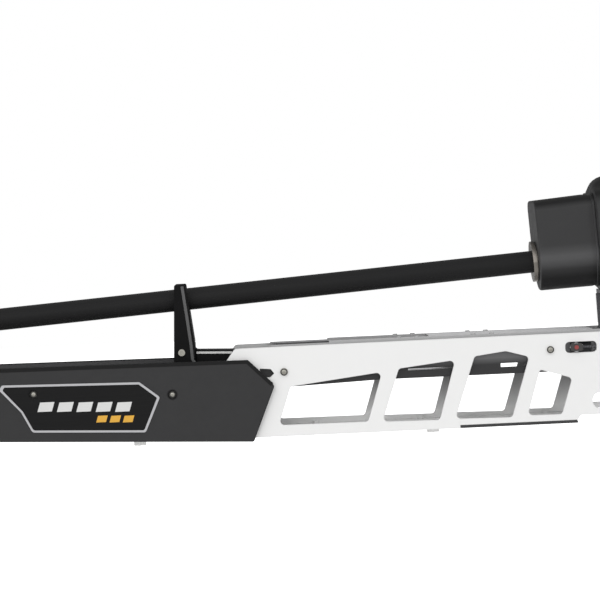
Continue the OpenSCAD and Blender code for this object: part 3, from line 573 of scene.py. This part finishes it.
# ---------------------------------------------------------------- steering housing
def drafted_barrel():
    """Barrel with a rounded front lip and a little draft, then a groove and the flange rim."""
    def ring(t, grow):
        draft = 1.4 * (t - BARREL_T0) / (FLANGE_T0 - BARREL_T0)
        return [on_shaft(t, y, z) for y, z in
                arch(92 + 2 * grow, -38.5 - grow - draft, 79 + grow + draft,
                     43 + grow, 58 + grow, max(15 + grow, 2))]

    front, lip = BARREL_T0 + 1.6, 2.6
    rings = [ring(front, grow) for grow in (-9, -4.5, -lip)]
    for k in range(1, 6):
        a = math.radians(18 * k)
        rings.append(ring(front + lip * (1 - math.cos(a)), -lip * (1 - math.sin(a))))
    rings += [ring(t, 0) for t in (350, 370, 390, 404, 406.5)]
    rim = ((0.6, -0.7), (2, -0.7), (2.4, 0.2), (2.7, 0.8), (3.3, 1.1), (5.2, 1.1), (5.7, 0.8),
           (6, 0.2))
    rings += [ring(FLANGE_T0 + dt, grow) for dt, grow in rim]
    piece("barrel_shell", *skin(rings), "housing", "housing_plastic", "black_plastic",
          ["gear_barrel"], 30)


CASE_MID = 21  # middle of the gear case above the shaft's axis
CASE_HALF_W, CASE_HALF_H = 56, 67
RIDGE_HALF_W, RIDGE_HIGH, RIDGE_LOW, RIDGE_RUN = 36, 81, 62, 24
MELT = 22  # how crisply box and ridge meet


def case_ring(t, inset):
    """Section of the gear case: a soft box joined to the ridge, which rises from its front."""
    nose = min(1.0, max(0.0, (t - CASE_T0) / RIDGE_RUN))
    lift = RIDGE_HIGH - (RIDGE_HIGH - RIDGE_LOW) * (1 - math.sqrt(1 - (1 - nose) ** 2))
    pts = []
    for a in angles(96):
        box = super_radius(a, CASE_HALF_W - inset, CASE_HALF_H - inset, 5)
        ridge = super_radius(a, RIDGE_HALF_W - inset, lift - inset, 4) if math.sin(a) > 0 else 1
        r = (box ** MELT + ridge ** MELT) ** (1 / MELT)
        pts.append(on_shaft(t, r * math.cos(a), CASE_MID + r * math.sin(a)))
    return pts


def gear_case():
    """Main housing with a parting groove, rounded ends and cooling ribs on its sides."""
    front = ((0, 12), (0, 6), (0.6, 3), (2, 1.2), (4.5, 0.2), (8, 0))
    first = ((13, 0), (19, 0), (25, 0), (45, 0), (63.6, 0))
    groove = ((64, 0.9), (65.6, 0.9), (66, 0))
    second = ((85, 0), (105, 0), (121, 0))
    back = ((125, 0.4), (128, 1.6), (129.4, 3), (130, 5), (130, 12))
    parts = [skin([case_ring(CASE_T0 + dt, inset)
                   for dt, inset in front + first + groove + second + back])]
    rib_low, rib_high, rib_pitch, rib_root = -16, 46, 6.5, 55.2
    for k in range(6):
        t = CASE_T0 + 81 + rib_pitch * k
        for s in (-1, 1):
            parts.append(skin([[on_shaft(t + dt, s * (rib_root + g), z) for dt, z in
                                ((-h, rib_low), (h, rib_low), (h, rib_high), (-h, rib_high))]
                               for g, h in ((0, 1.6), (0.7, 1.3), (0.9, 0.8))]))
    piece("gear_case", *merge(parts), "housing", "housing_plastic", "black_plastic",
          ["main_housing"], 30)


def end_cap():
    """Rear cap with a rounded rim and a real hole for the steering tube."""
    def outer(t, inset):
        radii = [(a, super_radius(a, 51.5 - inset, 62.5 - inset, 5)) for a in angles(96)]
        return [on_shaft(t, r * math.cos(a), CASE_MID + r * math.sin(a)) for a, r in radii]

    rim = ((0.2, 3), (0.2, 0.6), (1, 0), (5.4, 0), (6.8, 0.6), (7.6, 1.8), (7.9, 3.4), (7.9, 7),
           (7.2, 8), (7.2, 11))
    hole = 19.3
    rings = [circle(CASE_T1 + 0.2, hole)] + [outer(CASE_T1 + dt, inset) for dt, inset in rim]
    rings += [circle(CASE_T1 + dt, r) for dt, r in ((7.2, 26), (8, 25), (8, hole))]
    piece("rear_cap", *skin(rings, closed=True), "housing", "black_plastic", None,
          ["housing_cap"], 30)


drafted_barrel()
gear_case()
end_cap()


# ---------------------------------------------------------------- control head
HEAD_HALF_W, HEAD_HALF_H, HEAD_SHIFT, HEAD_TAPER = 113, 59, 19, 0.3


def egg(t, grow):
    """Plan of the head, offset to one side of the shaft and tapered towards +Y."""
    pts = []
    for a in angles(96):
        r = super_radius(a, HEAD_HALF_W + grow, HEAD_HALF_H + grow, 3.4)
        y, z = r * math.cos(a), r * math.sin(a)
        z *= 1 - HEAD_TAPER * max(0.0, y / HEAD_HALF_W) ** 2
        pts.append(on_shaft(t, HEAD_SHIFT + y, z))
    return pts


def control_head():
    """Lower tray with its neck, and the domed cover above the seam."""
    neck = ((0, 15), (0, 29), (0.6, 31), (2, 32), (9, 32), (11, 33.4))
    tray = ((12.2, -20), (13, -12), (15, -7), (19, -3.6), (26, -2.2), (40, -1.6), (44.4, -1.6),
            (45, -2.6), (46.2, -3.2))
    lid = ((46.2, -3.2), (46.4, -1), (47, -0.3), (60, -0.4), (68, -1.6), (74, -4.2), (79, -8.6),
           (82.6, -14.5), (85, -22), (86.4, -31), (86.8, -40), (85.9, -41), (85.9, -50))
    rings = [circle(HEAD_T0 + dt, r) for dt, r in neck]
    rings += [egg(HEAD_T0 + dt, grow) for dt, grow in tray]
    piece("head_tray", *skin(rings), "column", "black_plastic", None, ["head_base"], 30)
    rings = [egg(HEAD_T0 + dt, grow) for dt, grow in lid]
    piece("head_lid", *skin(rings), "column", "head_shell", None, ["head_cover"], 30)


def head_details():
    """Button bezels, a pointer that shows the thrust direction, and indicator lenses."""
    top = HEAD_T0 + 86.3
    for name, y in (("power_bezel", -62), ("test_bezel", -36)):
        profile = [(top - 4, 8.6), (top - 4, 11.5), (top + 0.6, 11.2), (top + 1.6, 10.2),
                   (top + 1.6, 9.2), (top + 0.6, 8.6)]
        piece(name, *lathe(profile, lambda d, a, b, y=y: on_shaft(d, y + a, b), 40, True),
              "column", "black_plastic")
    arrow, middle = [(92, 0), (70, 15), (73, 0), (70, -15)], 81
    rings = [[on_shaft(top + h, middle + (y - middle) * k, z * k) for y, z in arrow]
             for h, k in ((-2, 1), (0.9, 1), (1.4, 0.9))]
    piece("thrust_pointer", *skin(rings), "column", "amber_lens", "red_plastic", sharp=20)
    dots = []
    for k in range(4):
        y = -12 + 14 * k
        profile = [(top - 2, 3), (top + 0.2, 3), (top + 0.9, 2.6), (top + 1.2, 1.6),
                   (top + 1.3, 0.4)]
        dots.append(lathe(profile, lambda d, a, b, y=y: on_shaft(d, y + a, 26 + b), 24))
    piece("charge_lights", *merge(dots), "column", "green_lens", "red_plastic")


control_head()
head_details()


# ---------------------------------------------------------------- cords and springs
def coiled_cord():
    """Cord wound round the shaft, from just above the collar to just below the head."""
    t0, t1, wire = COLLAR_T1 + 5, HEAD_T0 - 5, 3.1
    cord = piece("coiled_cord", *coil(on_shaft, t0, t1, 20.3, wire, 15, 24, 10), "column",
                 "rubber_black", None, ["coil_cord"], 60)
    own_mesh(cord)


def slot_springs():
    """Small springs in the rail slots, running from the latch to the slot ends."""
    x0, rail_mid = LATCH_X + 6.9, 52.5
    turns = [coil(lambda d, a, b, s=s: plain(d, s * rail_mid + a, LATCH_Z + b), x0, SLOT_END - 0.5,
                  1.75, 0.42, 9, 16, 6) for s in (-1, 1)]
    springs = piece("slot_springs", *merge(turns), "latch", "dark_iron", None, ["latch_spring"], 60)
    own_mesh(springs)


coiled_cord()
slot_springs()


# ---------------------------------------------------------------- lower unit
def motor_shell():
    """Tube with end bands, seam grooves and a streamlined neck up to the shaft."""
    half = [(67, 0.3), (67.4, 0.8), (68.6, 0.8), (69, 0), (80, 0), (81.4, 0.2), (MOTOR_END, 1),
            (MOTOR_END, 3)]
    profile = [(-d, MOTOR_R - inset) for d, inset in reversed(half)]
    profile += [(d, MOTOR_R - inset) for d, inset in half]
    tube = lathe(profile, along_motor, 72)
    neck = ((36, 46, 24), (44, 38, 23), (50, 31, 22), (57, 27, 21.5), (65, 25, 22.5),
            (70, 25.6, 25), (71, 26, 25.8), (90, 26, 26), (91.4, 25.4, 25.4), (92, 24, 24),
            (92, 14.4, 14.4))
    rings = [[on_motor(x, half_y * math.cos(a), half_z * math.sin(a)) for a in angles(48)]
             for x, half_y, half_z in neck]
    piece("motor_shell", *merge([tube, skin(rings)]), "column", "black_cast", None,
          ["motor_housing"], 30)


def end_shells():
    """Rounded nose, and a tail that necks down to the propeller, with its through bolts."""
    rim = [(MOTOR_END, 2), (MOTOR_END, 0.6), (MOTOR_END + 1, 0)]
    nose = [(d, MOTOR_R - inset) for d, inset in rim]
    nose += [(MOTOR_END + 1 + 82 * math.sin(a), MOTOR_R * math.cos(a))
             for a in (math.radians(5 * k) for k in range(1, 18))]
    nose.append((165.6, 0.5))
    piece("nose_shell", *lathe(nose, along_motor, 72), "column", "black_cast", None, ["nose_cone"],
          30)
    tail_r = 29
    tail = [(-d, MOTOR_R - inset) for d, inset in rim]
    tail += [(-MOTOR_END - 1 - 42 * math.sin(a), tail_r + (MOTOR_R - tail_r) * math.cos(a))
             for a in (math.radians(9 * k) for k in range(1, 10))]
    tail += [(-126, tail_r), (-128, tail_r - 0.6), (-128, 24)]
    piece("tail_shell", *lathe(tail, along_motor, 72), "column", "black_cast", None,
          ["tail_housing"], 30)
    head = [(-112, 3.2), (-114.6, 3.2), (-115.2, 2.8), (-115.2, 1.4), (-114, 1.2)]
    bolts = [lathe(head, lambda d, a, b, s=s: on_motor(a, d, s * 35 + b), 24) for s in (-1, 1)]
    piece("through_bolts", *merge(bolts), "column", "stainless")


def foil(length, thick, steps=28):
    """Standard symmetric foil: (distance from the leading edge, height either side)."""
    pts = []
    for a in angles(steps):
        x = 0.5 * (1 - math.cos(a))
        y = thick * (1.4845 * math.sqrt(x) - 0.63 * x - 1.758 * x ** 2 + 1.4215 * x ** 3
                     - 0.5 * x ** 4)
        pts.append((x * length, y if a < math.pi else -y))
    return pts


SKEG_TIP = 166


def skeg_fin():
    """Swept fin under the motor, thinner and rounded towards its tip."""
    root, steps = MOTOR_R - 6, 14
    rings = []
    for k in range(steps + 1):
        s = k / steps
        x = -root - (SKEG_TIP - root) * (1 - (1 - s) ** 1.6 if s > 0.8 else s)
        lead = 56 - 62 * s - 10 * s ** 8
        trail = -64 + 8 * s + 12 * s ** 10
        rings.append([on_motor(x, lead - d, h) for d, h in foil(lead - trail, 4.4 - 1.8 * s)])
    piece("skeg_fin", *skin(rings), "column", "black_cast", None, ["skeg"], 50)


BLADE_ROOT, BLADE_SPAN, BLADE_Y = 20, 113, -156


def blade(turn):
    """Cambered blade with a rounded tip, whose pitch falls from root to tip."""
    rings = []
    steps = 22
    for k in range(steps):
        s = math.sin(math.pi / 2 * k / (steps - 1))
        r = BLADE_ROOT + BLADE_SPAN * s
        round_tip = math.sqrt(1 - min(1.0, max(0.0, s - 0.66) / 0.34) ** 2)
        chord = 2 + (26 + 58 * math.sin(math.pi * (0.12 + 0.5 * s)) ** 1.4) * round_tip
        pitch = math.radians(74 - 38 * s ** 0.8)
        ring = []
        for d, h in foil(chord, 5.2 - 3.6 * s, 24):
            u = d / chord
            along = d - chord * 0.46
            lift = h + 5.5 * (1 - s * 0.4) * 4 * u * (1 - u) * 0.5
            sweep = 10 * s ** 2
            x = along * math.cos(pitch) - lift * math.sin(pitch) + sweep
            y = -along * math.sin(pitch) - lift * math.cos(pitch)
            ring.append(on_motor(x * math.cos(turn) + r * math.sin(turn), y * 0.8 + BLADE_Y,
                                 r * math.cos(turn) - x * math.sin(turn)))
        rings.append(ring)
    return skin(rings)


def screw_propeller():
    """Hub with two blades."""
    hub = [(-132, 20), (-132, 26.5), (-132.8, 27.6), (-134, 28), (-150, 28), (-165, 27),
           (-174, 24.6), (-178.6, 21), (-180, 17), (-180, 12)]
    parts = [lathe(hub, along_motor, 56), blade(0), blade(math.pi)]
    piece("screw_propeller", *merge(parts), "screw", "prop_plastic", None, ["propeller"], 40)


motor_shell()
end_shells()
skeg_fin()
screw_propeller()


# ---------------------------------------------------------------- details of the base
def fork_ribs():
    """Raised slanted rib on each face of the shaft rest."""
    line = [(-112.6, 100), (-117.4, 108), (-118.4, 126), (-122.6, 166), (-126.8, 203)]
    w, root, crest = 2.2, 27.6, 28.9
    parts = []
    for s in (-1, 1):
        rings = []
        for x, z in line:
            rings.append([plain(x - w, s * root, z), plain(x - w + 0.5, s * crest, z),
                          plain(x + w - 0.5, s * crest, z), plain(x + w, s * root, z)])
        parts.append(skin(rings))
    piece("fork_ribs", *merge(parts), "base", "rib_plastic", "black_plastic", sharp=20)


def beam_highlight_strip():
    """Painted highlight: pale strip along each side of the beam behind the shaft rest, where the
    light catches its upper edge.
    """
    back, face, fall = 18.6, 19.4, 0.04
    parts = []
    for s in (-1, 1):
        rings = []
        for x in (-112, -100, -80, -66):
            top = 117.6 - fall * (x + 112)
            rings.append([plain(x, s * back, top - 3.2), plain(x, s * face, top - 2.9),
                          plain(x, s * face, top - 0.3), plain(x, s * back, top)])
        parts.append(skin(rings))
    piece("beam_highlight_strip", *merge(parts), "base", "mark_white", "painted_rail", sharp=20)


def cover_trim():
    """Dark edge moulding along the top and the slanted end of each cover."""
    path = [Vector(p) for p in ((-489.5, 95.6), (-470, 108.2), (-46.4, 104.4), (-15.4, 73.4))]
    section = [(-1.2, 55.4), (-1.2, 61.7), (-0.6, 62.3), (3.3, 62.3), (3.3, 61.7), (0.3, 61.7),
               (0.3, 55.4)]
    inward = []
    for a, b in zip(path, path[1:]):
        run = (b - a).normalized()
        inward.append(Vector((run.y, -run.x)))
    parts = []
    for s in (-1, 1):
        rings = []
        for k, p in enumerate(path):
            before, after = inward[max(k - 1, 0)], inward[min(k, len(inward) - 1)]
            mitre = (before + after) / (1 + before.dot(after))
            rings.append([plain(p.x + mitre.x * d, s * y, p.y + mitre.y * d) for d, y in section])
        parts.append(skin(rings))
    piece("cover_trim", *merge(parts), "base", "trim_rubber", "black_plastic", sharp=30)


def dressed_screws():
    """Dark rolled rim and domed bright centre, with a socket, over each side screw head."""
    full = 4.6
    heads = [(0, 88, 58, full), (344, 101, 58, full), (-322.2, 74.2, 60.8, 3.9),
             (-144.4, 65.8, 60.8, 3.9)]
    rim = ((-0.6, 3.2), (-0.6, full), (0.3, 4.5), (0.7, 4.0), (0.6, 3.4), (0, 3.2))
    dome = ((-0.4, 3.25), (0.35, 3.1), (0.75, 2.2), (0.85, 1.5), (0.1, 1.3), (-0.5, 1.2))
    rims, domes = [], []
    for x, z, y, r in heads:
        for s in (-1, 1):
            def spot(d, a, b, x=x, z=z, s=s):
                return plain(x + a, s * d, z + b)

            k = r / full
            rims.append(lathe([(y + d, w * k) for d, w in rim], spot, 40, True))
            domes.append(lathe([(y + d, w * k) for d, w in dome], spot, 32))
    piece("screw_rims", *merge(rims), "base", "screw_dark", "stainless")
    piece("screw_domes", *merge(domes), "base", "screw_zinc", "stainless")


def badge_marks():
    """Plain slanted dashes, a pale row and a short amber one, on each badge."""
    def dash(s, x, z, length, height):
        lean = height * 0.32
        back, face = 62.55, 62.95
        corners = [(x, z), (x + length, z), (x + length + lean, z + height), (x + lean, z + height)]
        return skin([[plain(a, s * y, b) for a, b in corners] for y in (back, face)])

    pale, amber = [], []
    for s in (-1, 1):
        for k in range(5):
            pale.append(dash(s, -318 + 24.8 * k, 51.5 - 1.1 * k, 18.5, 12))
        for k in range(3):
            amber.append(dash(s, -243.5 + 17 * k, 34.6 - 0.75 * k, 12.5, 8.5))
    piece("badge_dashes", *merge(pale), "base", "mark_white", "painted_rail", sharp=20)
    piece("badge_accents", *merge(amber), "base", "mark_amber", "red_plastic", sharp=20)


fork_ribs()
beam_highlight_strip()
cover_trim()
dressed_screws()
badge_marks()

# ---------------------------------------------------------------- stage, lights, camera
FLOOR_Z = -1.34  # metres, below the deployed lower unit


def pale_floor():
    """Pale plane, brighter to the camera than to the light that falls on the object."""
    floor = bpy.data.objects.new("floor", bpy.data.meshes.new("floor"))
    bm = bmesh.new()
    bmesh.ops.create_grid(bm, x_segments=1, y_segments=1, size=30)
    bm.to_mesh(floor.data)
    bm.free()
    floor.location = (0, 0, FLOOR_Z)
    bpy.context.scene.collection.objects.link(floor)
    m = Nodes("pale_floor")
    to_camera = m.tree.nodes.new("ShaderNodeLightPath").outputs["Is Camera Ray"]
    m.set(Base_Color=(0.9, 0.9, 0.9, 1), Roughness=0.9, Emission_Color=(1, 1, 1, 1),
          Emission_Strength=m.remap(to_camera, 0.0, 0.85))
    floor.data.materials.append(m.mat)


# strengths of the studio light from each side
FRONT, ABOVE, SIDES, AMBIENT = 1.02, 0.36, 0.25, 0.2


def studio():
    """White to the camera; to the object, a broad light in front, softer above and at the sides."""
    world = bpy.data.worlds.new("studio")
    bpy.context.scene.world = world
    world.use_nodes = True
    tree = world.node_tree
    tree.nodes.clear()

    def add(kind, **kw):
        n = tree.nodes.new(kind)
        for k, v in kw.items():
            setattr(n, k, v)
        return n

    def calc(op, a, b):
        n = add("ShaderNodeMath", operation=op)
        for socket, v in zip(n.inputs, (a, b)):
            if isinstance(v, bpy.types.NodeSocket):
                tree.links.new(v, socket)
            else:
                socket.default_value = v
        return n.outputs[0]

    coord = add("ShaderNodeTexCoord").outputs["Generated"]
    axes = add("ShaderNodeSeparateXYZ")
    tree.links.new(coord, axes.inputs[0])
    front = calc("MAXIMUM", calc("MULTIPLY", axes.outputs["Y"], -1.0), 0.0)
    up = calc("MAXIMUM", axes.outputs["Z"], 0.0)
    side = calc("ABSOLUTE", axes.outputs["X"], 0.0)
    total = calc("MULTIPLY", front, FRONT)
    for way, amount in ((up, ABOVE), (side, SIDES)):
        total = calc("ADD", total, calc("MULTIPLY", way, amount))
    total = calc("ADD", total, AMBIENT)
    seen = add("ShaderNodeLightPath").outputs["Is Camera Ray"]
    strength = calc("MAXIMUM", total, seen)
    bg = add("ShaderNodeBackground")
    bg.inputs["Color"].default_value = (1, 1, 1, 1)
    tree.links.new(strength, bg.inputs["Strength"])
    tree.links.new(bg.outputs[0], add("ShaderNodeOutputWorld").inputs[0])


def area_light(name, place, target, size, power):
    """Rectangular light at place, turned towards target."""
    data = bpy.data.lights.new(name, "AREA")
    data.shape = "RECTANGLE"
    data.size, data.size_y = size
    data.energy = power
    light = bpy.data.objects.new(name, data)
    light.location = place
    aim = Vector(target) - Vector(place)
    light.rotation_euler = aim.to_track_quat("-Z", "Y").to_euler()
    bpy.context.scene.collection.objects.link(light)


# camera, metres
CAMERA_AT, CAMERA_AIM = Vector((-0.030, -3.355, 0.295)), Vector((0.0247, -0.055, 0.1795))
CAMERA_ROLL, CAMERA_LENS = math.radians(2.57), 154.2


def camera(place, target, roll, lens_mm):
    """Camera at place that looks at target, rolled clockwise by roll."""
    data = bpy.data.cameras.new("camera")
    data.sensor_width = 36
    data.lens = lens_mm
    cam = bpy.data.objects.new("camera", data)
    bpy.context.scene.collection.objects.link(cam)
    forward = (target - place).normalized()
    level_right = forward.cross(Vector((0, 0, 1))).normalized()
    level_up = level_right.cross(forward)
    right = level_right * math.cos(roll) - level_up * math.sin(roll)
    up = level_right * math.sin(roll) + level_up * math.cos(roll)
    cam.matrix_world = Matrix((
        (right.x, up.x, -forward.x, place.x),
        (right.y, up.y, -forward.y, place.y),
        (right.z, up.z, -forward.z, place.z),
        (0, 0, 0, 1)))
    bpy.context.scene.camera = cam


pale_floor()
studio()
area_light("key", (-0.9, -2.2, 0.9), (0.1, 0, 0.1), (1.4, 0.9), 4)
camera(CAMERA_AT, CAMERA_AIM, CAMERA_ROLL, CAMERA_LENS)
bpy.context.scene.view_settings.view_transform = "Standard"
